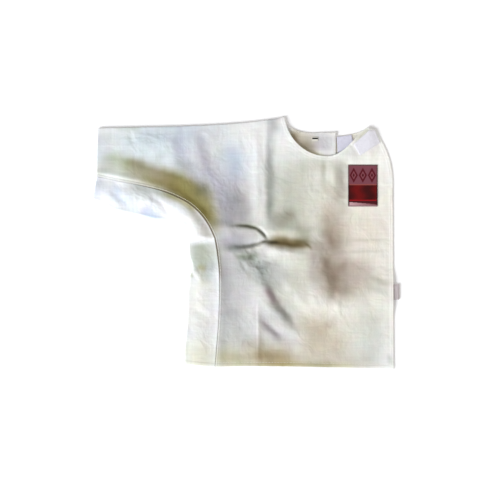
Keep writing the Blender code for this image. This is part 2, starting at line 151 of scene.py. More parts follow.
# Each fold runs from start to end. Height is over or under the slack cloth, and left and right
# are how far it spreads. Bow is how far it curves to its left, and peak the share of its length
# where it is highest: a straight one that is highest at its middle leaves both out
Fold = namedtuple("Fold", "name x0 y0 x1 y1 height left right bow peak", defaults=(0, 0.5))
FRONT_FOLDS = [Fold(*row) for row in (
    ("sleeve_swell", -420, 222, -72, 108, 3.2, 50, 26, 26, 0.55),
    ("sleeve_crease", -153, 268, -150, 150, -1.8, 12, 12, 0, 0.4),
    ("shoulder_crease", -108, 270, -72, 165, -2.0, 13, 13, 0, 0.4),
    ("cuff_dent", -268, 262, -258, 225, -1.6, 8, 8),
    ("armpit_trough", -250, 142, -78, 30, -3.0, 14, 18, 30, 0.65),
    ("chest_crest", 22, 285, 22, 25, 2.8, 9, 38),
    ("chest_valley", 52, 245, 52, 28, -3.5, 30, 9),
    ("pinch_upper_crease", -50, 42, 32, 34, -4.2, 5, 5, 4, 0.7),
    ("pinch_upper_drop", 16, 39, 49, 5, -4.4, 5, 5, 7),
    ("pinch_lower_crease", -46, 0, 47, 7, -4.0, 5, 5, -9, 0.75),
    ("pinch_lens", -76, 17, 38, 9, 2.6, 11, 11, 0, 0.65),
    ("pinch_wedge", 40, 5, 160, -6, -4.5, 15, 11, 0, 0.25),
    ("ridge_over_wedge", 40, 28, 170, 16, 3.4, 15, 11, 3, 0.3),
    ("ridge_under_wedge", 45, -19, 185, -42, 4.4, 10, 26, 3, 0.3),
    ("belly_trough", 32, -56, 132, -212, -4.4, 10, 14, -10),
    ("belly_ridge", 60, -40, 178, -176, 3.8, 28, 13, -6),
    ("low_trough", 34, -168, 90, -220, -3.2, 8, 8, -3),
    ("crumple_a", -4, -12, 26, -62, -2.2, 6, 7, 6),
    ("crumple_b", 16, -20, 48, -58, -1.8, 5, 6, -4),
    ("crumple_c", -14, -30, 10, -76, -1.6, 4, 5, -3, 0.4),
    ("crumple_d", 28, -34, 66, -52, -1.4, 4, 5, 2, 0.4),
    ("crumple_e", 8, -46, 40, -84, 1.3, 4, 4, 3),
    ("crumple_f", -30, -18, 24, -24, 1.5, 5, 4, -3),
    ("side_trough", 178, 112, 196, -142, -3.6, 36, 18, 0, 0.6),
    ("side_dent", 226, -38, 290, -126, -2.5, 26, 26),
    ("side_notch", 207, -128, 218, -178, 1.6, 5, 8, 0, 0.4),
    ("far_crease", 270, -70, 336, -96, -1.4, 8, 8),
    ("hem_swell", -60, -214, 170, -236, 4.0, 38, 20),
    ("hem_crest", 22, -215, 23, -282, 1.6, 7, 9, 0, 0.6),
    ("far_side_swell", 300, 150, 306, -250, 1.5, 22, 40),
    ("neck_pleat_a", 182, 196, 180, 120, -1.6, 7, 7, 0, 0.35),
    ("neck_pleat_b", 200, 188, 208, 96, 1.2, 7, 7, 0, 0.4),
    ("neck_pleat_c", 222, 180, 226, 112, -1.2, 7, 7, 0, 0.4),
)]
Support = namedtuple("Support", "name left bottom right top height reach")
FRONT_SUPPORTS = [Support(*row) for row in (
    ("waist_elastic_on_back", 162, -131, 208, -93, 4.2, 45),
    ("waist_elastic", 200, -131, 352, -93, 1.7, 45),
    ("waist_elastic_end", 308, -131, 352, -93, 3.7, 45),
    ("neck_strap_and_tape", 196, 200, 280, 258, 3.3, 30),
)]
BACK_SUPPORTS = [Support("neck_strap_end", 174, 203, 206, 249, 1.8, 24)]
SWELL = 2.4
SEAM_RISE = 42.0
BELLY = (150.0, -20.0, 3.0, 170.0)
BACK_STEP = 44.0
EDGE_REST = 20.0
FLAT_SIDE = (215, 325, 0.75)
ROLL = 3.2
ROLL_REACH = 11.0
ROLL_RISE = 0.2
ROLL_END = 0.66
ROLL_FALL = 0.22


def seam_roll(share, away):
    """Height of the ridge that the seam's turned edges make, from the cuff to below the armpit."""
    along = ramp(share, 0, ROLL_RISE) * ramp(ROLL_END - share, 0, ROLL_FALL)
    return ROLL * along * np.exp(-((away / ROLL_REACH) ** 2))


def lift_over(supports, x, y):
    """Height that what lies beneath asks for."""
    height = np.zeros(x.shape)
    for s in supports:
        across = np.maximum(np.maximum(s.left - x, x - s.right), 0)
        along = np.maximum(np.maximum(s.bottom - y, y - s.top), 0)
        height = np.maximum(height, s.height * (1 - ramp(np.hypot(across, along), 0, s.reach)))
    return height


def front_lift(x, y):
    """Height of the underside of the front."""
    base = ON_BACK * (1 - ramp(beside(x, y, BACK_FREE_EDGE)[0], 1, BACK_STEP))
    base = np.maximum(base, lift_over(FRONT_SUPPORTS, x, y))
    from_armhole, share = beside(x, y, SEAM)
    from_seam = np.minimum(abs(from_armhole), abs(beside(x, y, SHOULDER)[0]))
    centre_x, centre_y, extra, reach = BELLY
    slack = SWELL + extra * np.exp(-(np.hypot(x - centre_x, y - centre_y) / reach) ** 2)
    flat_from, flat_to, flattened = FLAT_SIDE
    slack = slack * (1 - flattened * ramp(x, flat_from, flat_to))
    slack = slack + sum(fold.height * along_row(x, y, fold) for fold in FRONT_FOLDS)
    from_edge = np.minimum(abs(beside(x, y, SIDE_EDGE)[0]), abs(beside(x, y, FRONT_HEM)[0]))
    slack = slack * ramp(from_edge, 0, EDGE_REST)
    return base + ramp(from_seam, 0, SEAM_RISE) * np.maximum(slack, 0) + seam_roll(share, from_armhole)


# Shades are painted on the white: mostly painted shade in the cloth's creases, troughs and
# hollows and painted highlights on its crests, with some soil and yellowing from handling and
# storage. Each row takes red, green and blue off it, in steps of 255, or gives them back as a
# painted highlight
Shade = namedtuple("Shade", "name x0 y0 x1 y1 left right red green blue bow peak", defaults=(0, 0.5))
# The front's shades were set against the photograph, so their places and widths stay in its
# pixels, to the right and down, of 2.3 mm each
PIXEL = 2.3
PHOTO_MIDDLE = (246.3, 243.2)
SHORT = 6


def from_photo(name, x0, y0, x1, y1, left, right, red, green, blue, bow=0, peak=0.5):
    """A shade in whole millimetres, its short widths in tenths, from one in pixels."""
    middle_x, middle_y = PHOTO_MIDDLE
    from_middle = (x0 - middle_x, middle_y - y0, x1 - middle_x, middle_y - y1)
    places = [round(away * PIXEL) for away in from_middle]
    widths = [width * PIXEL for width in (left, right, bow)]
    left, right, bow = (round(width, 0 if abs(width) > SHORT else 1) for width in widths)
    return Shade(name, *places, left, right, red, green, blue, bow, peak)


FRONT_SHADES = [from_photo(*row) for row in (
    ("sleeve_cool", 92, 150, 222, 146, 30, 30, 16, 8, 2),
    ("sleeve_upper", 150, 132, 250, 130, 10, 12, 16, 14, 10),
    ("cuff_edge", 96, 124, 96, 168, 16, 12, 24, 20, 16),
    ("cuff_fold_top", 110, 124.5, 146, 125, 3, 6, 30, 26, 36),
    ("sleeve_crease_a", 177, 120, 190, 182, 6, 8, 28, 32, 26, -1),
    ("sleeve_crease_b", 192, 124, 216, 194, 8, 9, 30, 34, 28, 1, 0.45),
    ("sleeve_crease_b_dent", 197, 146, 214, 186, 3.5, 4, 14, 14, 10, 1, 0.6),
    ("trough_start", 98, 157, 142, 168, 8, 11, 43, 43, 62, 1),
    ("trough_brown", 116, 161, 206, 197, 6.5, 16, 80, 92, 120, 5, 0.38),
    ("trough_olive", 152, 172, 217, 240, 9, 20, 46, 50, 86, 18, 0.55),
    ("trough_edge", 152, 164, 212, 214, 4, 8, 12, 12, 14, 12),
    ("seam_ridge", 93, 172, 152, 183, 2, 2.6, -16, -16, -20),
    ("armpit_grey", 204, 162, 230, 240, 14, 10, 16, 15, 12, 8),
    ("left_chest", 218, 138, 226, 244, 25, 12, 33, 34, 27, 0, 0.65),
    ("left_chest_low", 240, 168, 244, 240, 12, 24, 37, 40, 42, 0, 0.65),
    ("chest_crest", 255, 124, 256, 232, 4, 5, -8, -10, -10),
    ("chest_valley", 269, 104, 269, 234, 6, 2.8, 62, 60, 60, 0, 0.6),
    ("chest_right", 282, 138, 288, 242, 34, 16, 44, 42, 50, 0, 0.65),
    ("neck_shade", 322, 156, 322, 176, 20, 20, 18, 18, 20, 0, 0.4),
    ("valley_foot", 264, 224, 300, 213, 7, 7, 36, 40, 42, 0, 0.6),
    ("chest_low_grey", 236, 230, 312, 226, 7, 7, 22, 21, 24),
    ("over_wedge_light", 264, 232, 306, 233, 2.5, 2.5, -10, -8, -4, 0, 0.4),
    ("upper_arc_soft", 222, 226, 262, 229, 4, 4, 30, 28, 34, 2, 0.7),
    ("upper_arc", 233, 225.4, 258, 229, 1.4, 1.8, 72, 72, 80, 1, 0.75),
    ("lower_arc_soft", 216, 247.5, 264, 245, 3.8, 4, 66, 62, 66, -1.5, 0.6),
    ("lower_arc", 238, 246, 268, 240, 1.3, 1.4, 60, 60, 66, -1.5, 0.75),
    ("lower_crescent", 230, 253, 264, 253, 3, 4, 56, 52, 62, -3, 0.45),
    ("lens_lilac", 210, 241, 262, 240, 6, 7, 46, 48, 42, 0, 0.4),
    ("wedge", 260, 241.2, 314, 246.6, 8.8, 4.2, 91, 98, 112, -0.5, 0.55),
    ("wedge_low", 262, 240.8, 314, 245.8, 6, 4.6, 54, 61, 79, 0, 0.45),
    ("wedge_tip", 258, 241.6, 282, 243, 2.4, 2.6, 88, 88, 90, 0, 0.4),
    ("wedge_tail", 296, 240, 328, 250, 6, 6, 37, 41, 44, 0, 0.4),
    ("left_belly", 228, 222, 230, 352, 28, 16, 40, 42, 40, 0, 0.4),
    ("crumple", 242, 250, 272, 284, 14, 16, 38, 34, 36, 0, 0.4),
    ("belly_trough", 260, 268, 307, 338, 5.5, 4, 60, 62, 62, -6, 0.45),
    ("belly_soft", 262, 270, 304, 336, 17, 5, 32, 32, 36, -4.5, 0.45),
    ("belly_start", 252, 258, 276, 292, 8, 8, 26, 24, 24),
    ("belly_mauve", 264, 284, 278, 306, 4, 3, 10, 20, 14, -1),
    ("belly_grey", 300, 246, 306, 300, 16, 24, 26, 24, 30, 0, 0.35),
    ("low_trough", 258, 314, 288, 342, 6, 5, 36, 42, 36, -2, 0.45),
    ("pressed_line", 257, 290, 257, 366, 1.1, 1.1, -22, -22, -22, 0, 0.6),
    ("hem_left", 206, 357, 258, 359, 11, 11, 50, 56, 80),
    ("hem_right", 240, 353, 312, 363, 12, 9, 76, 92, 120, 0, 0.4),
    ("hem_rise", 196, 341, 290, 341, 12, 9, 32, 32, 34),
    ("hem_turn", 216, 364, 392, 366, 3.5, 4, 26, 28, 48, 0, 0.4),
    ("hem_beige", 290, 346, 366, 350, 24, 22, 33, 41, 55, 0, 0.4),
    ("beige_middle", 290, 316, 338, 336, 14, 12, 22, 27, 34),
    ("beige_spot", 326, 318, 331, 330, 5, 5, 16, 18, 18),
    ("mauve_head", 320, 180, 342, 204, 8, 9, 18, 21, 23, 0, 0.6),
    ("mauve_stem", 325, 194, 337, 262, 17, 8, 53, 62, 66, -1, 0.6),
    ("mauve_core", 325, 238, 333, 312, 12, 9, 54, 61, 65, -1),
    ("mauve_dark", 322, 226, 334, 250, 6, 5, 18, 20, 21, 0, 0.4),
    ("mauve_right", 330, 262, 386, 278, 14, 24, 48, 57, 58, 0, 0.35),
    ("mauve_low", 323, 290, 362, 291, 9, 9, 33, 37, 39, 0, 0.4),
    ("lilac_left", 312, 238, 314, 300, 8, 5, 28, 34, 30),
    ("far_grey", 366, 200, 372, 262, 16, 16, 10, 14, 16),
    ("notch_light", 335, 289, 338, 303, 2.4, 2.4, -18, -16, -14),
    ("pressed_fold_a", 340, 240, 394, 240, 1.4, 1.6, 18, 16, 18),
    ("pressed_fold_b", 336, 252, 394, 250, 1.3, 1.8, 14, 14, 14),
    ("far_crease", 364, 274, 396, 286, 3, 4, 28, 26, 28, 0, 0.6),
    ("far_low", 374, 282, 372, 376, 13, 20, 28, 26, 30, 0, 0.6),
    ("far_corner", 388, 352, 391, 366, 2.5, 2.5, 26, 24, 30, 0, 0.6),
    ("right_hem", 330, 362, 386, 362, 8, 8, 20, 22, 26),
    ("trough_end", 186, 174, 212, 228, 7, 12, 24, 26, 26, 6),
    ("chest_left_mid", 230, 134, 240, 192, 14, 9, 28, 24, 15),
    ("shoulder_light", 372, 146, 386, 172, 7, 7, -10, -10, -8),
    ("crumple_right", 262, 254, 292, 290, 10, 10, 30, 30, 28, 0, 0.45),
    ("low_left_grey", 226, 300, 246, 344, 10, 10, 24, 24, 24),
    ("low_light_grey", 266, 296, 300, 330, 5, 5, 14, 14, 14, -3),
    ("sleeve_turn", 130, 125, 250, 121, 2, 5, 14, 12, 12),
    ("neck_point_turn", 214, 117, 300, 112, 3, 6, 26, 26, 26, 0, 0.6),
    ("upper_arc_drop", 252, 227.2, 268, 241, 1.4, 1.7, 100, 100, 106, 2.2, 0.55),
    ("crescent_light", 240, 249.5, 266, 244.5, 1.4, 1.6, -36, -34, -30, -1.5),
    ("wedge_hook", 303, 243, 312, 252, 1.3, 1.5, 46, 46, 54, 2),
    ("pressed_shadow", 259.5, 296, 259.5, 364, 3.5, 0.9, 16, 17, 20),
    ("sleeve_top_grey", 128, 136, 178, 136, 8, 8, 20, 18, 16),
    ("crease_b_foot", 184, 156, 212, 202, 8, 8, 36, 36, 30),
    ("cuff_low", 97, 152, 108, 180, 10, 10, 23, 22, 22),
    ("ridge_grey", 292, 231, 314, 234, 5, 5, 24, 22, 26, 0, 0.6),
    ("chest_low_mid", 232, 184, 252, 224, 8, 10, 14, 14, 14),
    ("seam_knee", 216, 236, 222, 286, 3, 10, 30, 32, 40),
    ("pleat_shadow", 338, 150, 346, 200, 5, 5, 14, 14, 14),
    ("right_soft", 368, 184, 384, 200, 6, 6, 14, 13, 13),
    ("valley_top", 270, 110, 277, 136, 6, 6, 34, 34, 32),
    # Painted shade over the hem's turn, with some soil
    ("hem_middle_shade_and_soil", 294, 361, 342, 364, 6, 6, 24, 24, 27),
    ("far_low_crease", 364, 284, 392, 296, 4, 4, 16, 14, 14),
    ("mauve_spot", 325, 253, 333, 290, 9, 6, 39, 43, 45, 0, 0.35),
    ("low_turn", 270, 332, 300, 352, 8, 8, 24, 26, 26),
    ("hem_red_spot", 238, 342, 256, 345, 5, 5, 16, 19, 21, 0, 0.4),
    ("tape_edge_light", 352, 143, 361, 158, 1.3, 1.3, -16, -16, -16, 0, 0.4),
    ("chest_mauve_spot", 308, 240, 350, 252, 13, 11, 26, 28, 28),
    ("belly_right", 284, 284, 312, 308, 8, 8, 18, 18, 20),
    ("shoulder_grey", 206, 128, 224, 168, 10, 8, 20, 20, 22),
    ("valley_low", 268, 196, 270, 226, 5, 4, 22, 22, 22),
    ("far_shoulder_grey", 336, 148, 368, 158, 7, 7, 15, 14, 14),
    ("low_middle_grey", 248, 310, 284, 328, 9, 9, 20, 20, 20),
    ("arc_tail", 208, 222, 238, 223, 3, 4, 20, 20, 20),
    ("neck_pleat_a", 303, 154, 302, 184, 5, 5, 8, 6, 10, 0, 0.4),
    ("neck_pleat_b", 323, 156, 324, 196, 4, 3, 16, 15, 18, 0, 0.4),
    ("neck_pleat_c", 340, 156, 341, 220, 7, 9, 32, 32, 34, 0, 0.4),
    ("neck_edge_soil", 350, 144, 372, 126, 2, 3, 30, 34, 44),
    ("mauve_step", 330, 265, 350, 267, 5, 5, 20, 21, 22),
    ("olive_knee", 200, 180, 216, 204, 6, 6, 26, 26, 34),
    ("chest_cool", 212, 152, 248, 164, 14, 14, 9, 3, 0),
    ("seam_olive", 138, 176, 166, 186, 4, 5, 18, 18, 30),
    ("valley_foot_right", 286, 228, 334, 232, 6, 6, 20, 19, 22),
    ("far_grey_low", 356, 284, 390, 288, 9, 9, 18, 18, 18),
    ("wedge_top", 288, 239.5, 322, 242, 5, 3, 26, 24, 28),
    ("hem_light", 272, 361, 290, 362, 4, 4, -12, -12, -12),
    ("trough_upper", 176, 156, 190, 174, 6, 6, 13, 13, 17),
    ("sleeve_middle", 154, 156, 166, 160, 5, 5, 12, 12, 14),
    ("chest_light", 240, 200, 249, 212, 6, 6, -10, -10, -10),
    ("warm_half", 346, 110, 346, 380, 100, 66, 0, 4, 13),
)]
FRONT_WHITE = "#e6e7e5"

# Bands follow the underarm seam, from one share of its length to another: away is how far their
# middle is from it, over the front where positive, and left and right how far they spread. They
# paint shade beside the seam's ridge and in the armpit, and a highlight on its turned edges
SeamBand = namedtuple("SeamBand", "name start end away left right red green blue")
FRONT_BANDS = [SeamBand(*row) for row in (
    ("olive_to_stitches", 0.18, 0.46, 5, 8, 4, 30, 32, 46),
    ("turned_edge_highlight", -0.06, 0.20, 7.5, 3.0, 3.0, -34, -34, -32),
    ("cuff_low_grey", -0.08, 0.14, 15, 10, 12, 26, 24, 28),
    ("trough_to_seam", 0.08, 0.52, 12, 14, 11, 32, 35, 48),
    ("side_seam_grey", 0.52, 1.04, 9, 18, 7, 30, 30, 30),
    ("low_side_light", 0.86, 1.10, 5, 3, 3, -12, -12, -12),
)]
UNDERARM_BANDS = [SeamBand(*row) for row in (
    ("arm_shadow", 0.06, 0.25, -3, 14, 18, 56, 54, 62),
    ("armpit_shadow", 0.17, 0.34, -4, 8, 8, 57, 63, 99),
    ("armpit_soft_shadow", 0.24, 0.54, -9, 10, 24, 26, 30, 38),
)]


def steps(colour):
    """Red, green and blue of a hex colour, in steps of 255."""
    return np.array([int(colour[i:i + 2], 16) for i in (1, 3, 5)], float)


def srgb(colour):
    """Linear values of an sRGB colour, from hex or from steps of 255."""
    share = np.clip((steps(colour) if isinstance(colour, str) else colour) / 255, 0, 1)
    return np.where(share <= 0.04045, share / 12.92, ((share + 0.055) / 1.055) ** 2.4)


def along_seam(x, y, band):
    """How strongly a band beside the underarm seam acts at each point, from 0 to 1."""
    away, share = beside(x, y, SEAM)
    away = away - band.away
    length = band.end - band.start
    ends = ramp(share, band.start, band.start + length / 3) * ramp(band.end - share, 0, length / 3)
    return ends * np.exp(-((away / np.where(away > 0, band.left, band.right)) ** 2))


def shaded(x, y, white, table, bands):
    """The cloth's colour at each point, linear, with painted shade and soil taken off the white."""
    tone = np.tile(steps(white), (len(x), 1))
    for row in table:
        tone -= along_row(x, y, row)[:, None] * np.array([row.red, row.green, row.blue])
    for band in bands:
        tone -= along_seam(x, y, band)[:, None] * np.array([band.red, band.green, band.blue])
    return srgb(tone)


def inside(x, y, outline):
    """Whether each point is inside an outline."""
    odd = np.zeros(x.shape, bool)
    for (ax, ay), (bx, by) in zip(outline, np.roll(outline, -1, 0)):
        if ay != by:
            odd ^= ((ay > y) != (by > y)) & (x < ax + (y - ay) * (bx - ax) / (by - ay))
    return odd


def close_points(line, step):
    """Points along a line, its corners kept, no further apart than a step."""
    points = []
    for start, end in zip(line[:-1], line[1:]):
        count = max(1, math.ceil(math.hypot(*(end - start)) / step))
        points += [start + (end - start) * i / count for i in range(count)]
    return np.array(points + [line[-1]])


def grid_points(left, bottom, right, top, step):
    """Points of an even grid."""
    grid = np.meshgrid(np.arange(left, right, step), np.arange(bottom, top, step))
    return np.stack(grid, 2).reshape(-1, 2)


def flat_sheet(outline, spacing, fine=None):
    """A flat sheet cut to an outline, in facets of one spacing and, within a box, a finer one."""
    edge = close_points(np.concatenate([outline, outline[:1]]), spacing)[:-1]
    points = grid_points(*edge.min(0), *edge.max(0), spacing)
    if fine:
        left, bottom, right, top, step = fine
        within = (abs(2 * points[:, 0] - left - right) < right - left) & (
            abs(2 * points[:, 1] - bottom - top) < top - bottom)
        points = np.concatenate([points[~within], grid_points(*fine)])
    x, y = points.T
    away = abs(beside(x, y, np.concatenate([edge, edge[:1]]))[0])
    points = points[inside(x, y, edge) & (away > 0.4 * spacing)]
    corners = [Vector(point) for point in (*edge, *points)]
    cut = delaunay_2d_cdt(corners, [], [list(range(len(edge)))], 1, 0.01)
    bm = bmesh.new()
    vertices = [bm.verts.new((*corner, 0)) for corner in cut[0]]
    for face in cut[2]:
        bm.faces.new([vertices[i] for i in face])
    return bm


def coordinates(mesh):
    """The x, y and z of every point of a mesh, as three arrays."""
    flat = np.empty(3 * len(mesh.vertices))
    mesh.vertices.foreach_get("co", flat)
    return flat.reshape(-1, 3).T


def placed(name, data):
    """A new object in the scene."""
    thing = bpy.data.objects.new(name, data)
    bpy.context.scene.collection.objects.link(thing)
    return thing


def round_off(piece, width):
    """Rounds the edges of a piece's wall."""
    edge = piece.modifiers.new("rounded_edge", "BEVEL")
    edge.width = width * 0.001
    edge.segments = 2
    edge.limit_method = "ANGLE"
    edge.angle_limit = math.radians(60)


def finish_piece(name, bm, height, round_edge=0.7):
    """A piece of cloth from a sheet with its wall: raised, rounded at its edges and in metres."""
    bmesh.ops.recalc_face_normals(bm, faces=bm.faces[:])
    mesh = bpy.data.meshes.new(name)
    bm.to_mesh(mesh)
    bm.free()
    x, y, z = coordinates(mesh)
    z = z + height(x, y)
    mesh.vertices.foreach_set("co", (np.stack([x, y, z], 1) * 0.001).ravel())
    mesh.shade_smooth()
    piece = placed(name, mesh)
    if round_edge:
        round_off(piece, round_edge)
        keep_shape(piece)
    return piece


def keep_shape(piece):
    """Turns a piece's modifiers into plain mesh."""
    bpy.context.view_layer.update()
    evaluated = piece.evaluated_get(bpy.context.evaluated_depsgraph_get())
    mesh = bpy.data.meshes.new_from_object(evaluated)
    piece.modifiers.clear()
    old = piece.data
    piece.data = mesh
    mesh.name = piece.name
    bpy.data.meshes.remove(old)


def walled(bm, thickness):
    """Gives a flat sheet its wall."""
    raised = bmesh.ops.extrude_face_region(bm, geom=bm.faces[:])["geom"]
    for vertex in raised:
        if isinstance(vertex, bmesh.types.BMVert):
            vertex.co.z += thickness
    return bm


# Where the cloth is crushed into small facets, height being how hard
CRUSHED = [Fold(*row) for row in (
    ("below_pinch", -16, -14, 66, -92, 1.7, 30, 26),
    ("beside_pinch", -58, -10, 20, -18, 0.7, 10, 14),
    ("armpit", -122, 216, -52, 20, 0.75, 34, 26, 8),
    ("sleeve", -310, 250, -140, 246, 0.4, 40, 40),
    ("left_chest", -40, 190, -30, 60, 0.45, 30, 30),
    ("right_chest", 110, 160, 230, 60, 0.35, 50, 50),
    ("low_left", -50, -120, -10, -240, 0.4, 30, 40),
    ("low_right", 120, -90, 280, -230, 0.4, 60, 60),
    ("side_strip", -120, -60, -92, -240, 0.3, 30, 30),
    ("arm_strip", -300, 110, -160, 80, 0.4, 24, 24),
)]
UNFELLED = 99.0


def store_tone(piece, colour):
    """Stores each point's linear colour."""
    rgba = np.ones((len(colour), 4))
    rgba[:, :3] = colour
    piece.data.attributes.new("tone", "FLOAT_COLOR", "POINT").data.foreach_set("color", rgba.ravel())


def paint(piece, white, shades, free_edges, bands=(), felled=False):
    """Stores each point's colour, and how far in millimetres it is from seam, edges and the seam's
    soil and painted shadow.
    """
    x, y = coordinates(piece.data)[:2] * 1000
    store_tone(piece, shaded(x, y, white, shades, bands))
    away, share = beside(x, y, SEAM)
    # The seam's soil and painted shadow fade near the cuff, and a little below the armpit
    fainter = 2.0 * (1 - ramp(share, 0.04, 0.24)) + 1.3 * ramp(share, 0.55, 0.8)
    to_edge = np.min([abs(beside(x, y, line)[0]) for line in free_edges], 0)
    to_fell = abs(away) if felled else np.full(away.shape, UNFELLED)
    crushed = sum(row.height * along_row(x, y, row) for row in CRUSHED)
    stored = {"to_seam": to_fell, "dirt_and_shadow_reach": abs(away) + fainter, "to_edge": to_edge, "crushed": crushed}
    for name, amount in stored.items():
        piece.data.attributes.new(name, "FLOAT", "POINT").data.foreach_set("value", amount)


def add(tree, kind, inputs=None, **settings):
    """Adds a node with its settings, and its inputs as values or as links from other sockets."""
    node = tree.nodes.new(kind)
    for key, value in settings.items():
        setattr(node, key, value)
    for key, value in (inputs or {}).items():
        if isinstance(value, bpy.types.NodeSocket):
            tree.links.new(value, node.inputs[key])
        else:
            node.inputs[key].default_value = value
    return node


def new_material(name):
    """A material with an empty Principled shader, and that shader."""
    material = bpy.data.materials.new(name)
    material.use_nodes = True
    return material, material.node_tree, material.node_tree.nodes["Principled BSDF"]


def surface(tree, shader, colour, height, strength, levels):
    """Joins a colour and a relief in metres to a shader, and sets its own levels."""
    bump = add(tree, "ShaderNodeBump", {"Height": height, "Distance": 1.0, "Strength": strength})
    tree.links.new(colour, shader.inputs["Base Color"])
    tree.links.new(bump.outputs[0], shader.inputs["Normal"])
    for name, level in levels.items():
        shader.inputs[name].default_value = level


WHITE = (1, 1, 1, 1)
RIB_HEIGHT = 0.00012
TURNED_HEIGHT = 0.0008
CRUMPLE_HEIGHT = 0.0044
CRUSHED_HEIGHT = 0.0036


def twill_colour(tree, place, tone, seam_dirt_and_shadow, edge_wear_and_highlight):
    """The stored tone with blotches of soil, a seam darkened by soil and painted shadow, edges
    whitened by wear and a painted highlight, and uneven threads.
    """
    soil = add(tree, "ShaderNodeTexNoise", {"Vector": place, "Scale": 46.0, "Detail": 3.0})
    blotches = add(tree, "ShaderNodeMix", {"Factor": 0.13, 6: WHITE, 7: soil.outputs["Color"]},
                   data_type="RGBA")
    # A brown painted shadow, with some soil, darkens the cloth within about 3 mm of the seam
    seam_dirt_and_shadow_tint = add(tree, "ShaderNodeMix", {"Factor": seam_dirt_and_shadow, 6: WHITE, 7: (*srgb("#8f8270"), 1)},
                    data_type="RGBA")
    # Uneven threads show as faint streaks 5 to 8 mm apart, along and across the cloth
    whiteness = edge_wear_and_highlight
    for stretch in ((15, 210, 1), (210, 15, 1)):
        drawn = add(tree, "ShaderNodeMapping", {"Vector": place, "Scale": stretch})
        uneven = add(tree, "ShaderNodeTexNoise", {"Vector": drawn.outputs[0], "Scale": 1.0,
                                                  "Detail": 2.0})
        streaks = add(tree, "ShaderNodeMapRange", {"Value": uneven.outputs["Fac"], 1: 0.3, 2: 0.7,
                                                   3: 0.968, 4: 1.032})
        whiteness = add(tree, "ShaderNodeMath", {0: streaks.outputs[0], 1: whiteness},
                        operation="MULTIPLY").outputs[0]
    colour = tone
    for tint in (blotches, seam_dirt_and_shadow_tint):
        colour = add(tree, "ShaderNodeVectorMath", {0: colour, 1: tint.outputs[2]},
                     operation="MULTIPLY").outputs[0]
    colour = add(tree, "ShaderNodeVectorMath", {0: colour, "Scale": whiteness}, operation="SCALE")
    return colour.outputs[0]


def twill_relief(tree, place, turned, crushed):
    """Height of the cloth in metres, added up from its turned edges to its ribs."""
    crumple = add(tree, "ShaderNodeTexNoise", {"Vector": place, "Scale": 24.0, "Detail": 3.0,
                                               "Roughness": 0.5, "Distortion": 0.9})
    # Crushed cloth breaks into facets about 15 mm across, their edges bent by up to 22 mm
    bent = add(tree, "ShaderNodeTexNoise", {"Vector": place, "Scale": 38.0, "Detail": 2.0})
    moved = add(tree, "ShaderNodeVectorMath", {0: bent.outputs["Color"], 1: (0.022, 0.022, 0),
                                               2: place}, operation="MULTIPLY_ADD")
    facets = add(tree, "ShaderNodeTexVoronoi", {"Vector": moved.outputs[0], "Scale": 66.0,
                                                "Smoothness": 0.3}, feature="SMOOTH_F1")
    fine_folds = add(tree, "ShaderNodeMath", {0: facets.outputs["Distance"], 1: crushed},
                     operation="MULTIPLY")
    # Ribs are 1.6 mm apart, near three times the real ones, so that they show
    slanted = add(tree, "ShaderNodeMapping", {"Vector": place, "Rotation": (0, 0, math.radians(27))})
    ribs = add(tree, "ShaderNodeTexWave", {"Vector": slanted.outputs[0], "Scale": 196.0,
                                           "Distortion": 0.6, "Detail": 1.0, "Detail Scale": 2.0})
    height = 0.0
    for part, rise in ((turned, TURNED_HEIGHT), (crumple.outputs["Fac"], CRUMPLE_HEIGHT),
                       (fine_folds.outputs[0], CRUSHED_HEIGHT), (ribs.outputs["Fac"], RIB_HEIGHT)):
        height = add(tree, "ShaderNodeMath", {0: part, 1: rise, 2: height},
                     operation="MULTIPLY_ADD").outputs[0]
    return height


def cotton_twill(name):
    """Washed cotton and polyester twill: matt, a little fuzzy, with fine slanting ribs, soft
    crumples between the folds, a stitched edge lightened by wear and a painted highlight, and a
    seam darkened by soil and painted shadow."""
    material, tree, shader = new_material(name)
    place = add(tree, "ShaderNodeTexCoord").outputs["Object"]
    tone = add(tree, "ShaderNodeAttribute", attribute_name="tone").outputs["Color"]
    to_seam, dirt_and_shadow_reach, to_edge, crushed = [
        add(tree, "ShaderNodeAttribute", attribute_name=stored).outputs["Fac"]
        for stored in ("to_seam", "dirt_and_shadow_reach", "to_edge", "crushed")
    ]
    # Each goes from one level to another between two distances in millimetres. The edge factor
    # lightens all the cloth a little and its edges more, as wear and a painted highlight
    seam_dirt_and_shadow, edge_wear_and_highlight, hem, felled = [
        add(tree, "ShaderNodeMapRange", {"Value": away, 1: start, 2: end, 3: near, 4: far},
            interpolation_type="SMOOTHSTEP").outputs[0]
        for away, start, end, near, far in (
            (dirt_and_shadow_reach, 0.7, 2.7, 1.0, 0.0), (to_edge, 2.5, 6.0, 1.14, 1.06),
            (to_edge, 6.0, 9.5, 1.0, 0.0), (to_seam, 4.2, 6.4, 1.0, 0.0))
    ]
    turned = add(tree, "ShaderNodeMath", {0: hem, 1: felled}, operation="ADD").outputs[0]
    colour = twill_colour(tree, place, tone, seam_dirt_and_shadow, edge_wear_and_highlight)
    height = twill_relief(tree, place, turned, crushed)
    surface(tree, shader, colour, height, 0.6,
            {"Roughness": 0.86, "Sheen Weight": 0.15, "Sheen Roughness": 0.5})
    return material


def dress(piece, material, slot, *nodes):
    """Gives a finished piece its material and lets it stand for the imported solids."""
    piece.data.materials.clear()
    piece.data.materials.append(material)
    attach(piece, "root")
    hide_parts(*nodes)


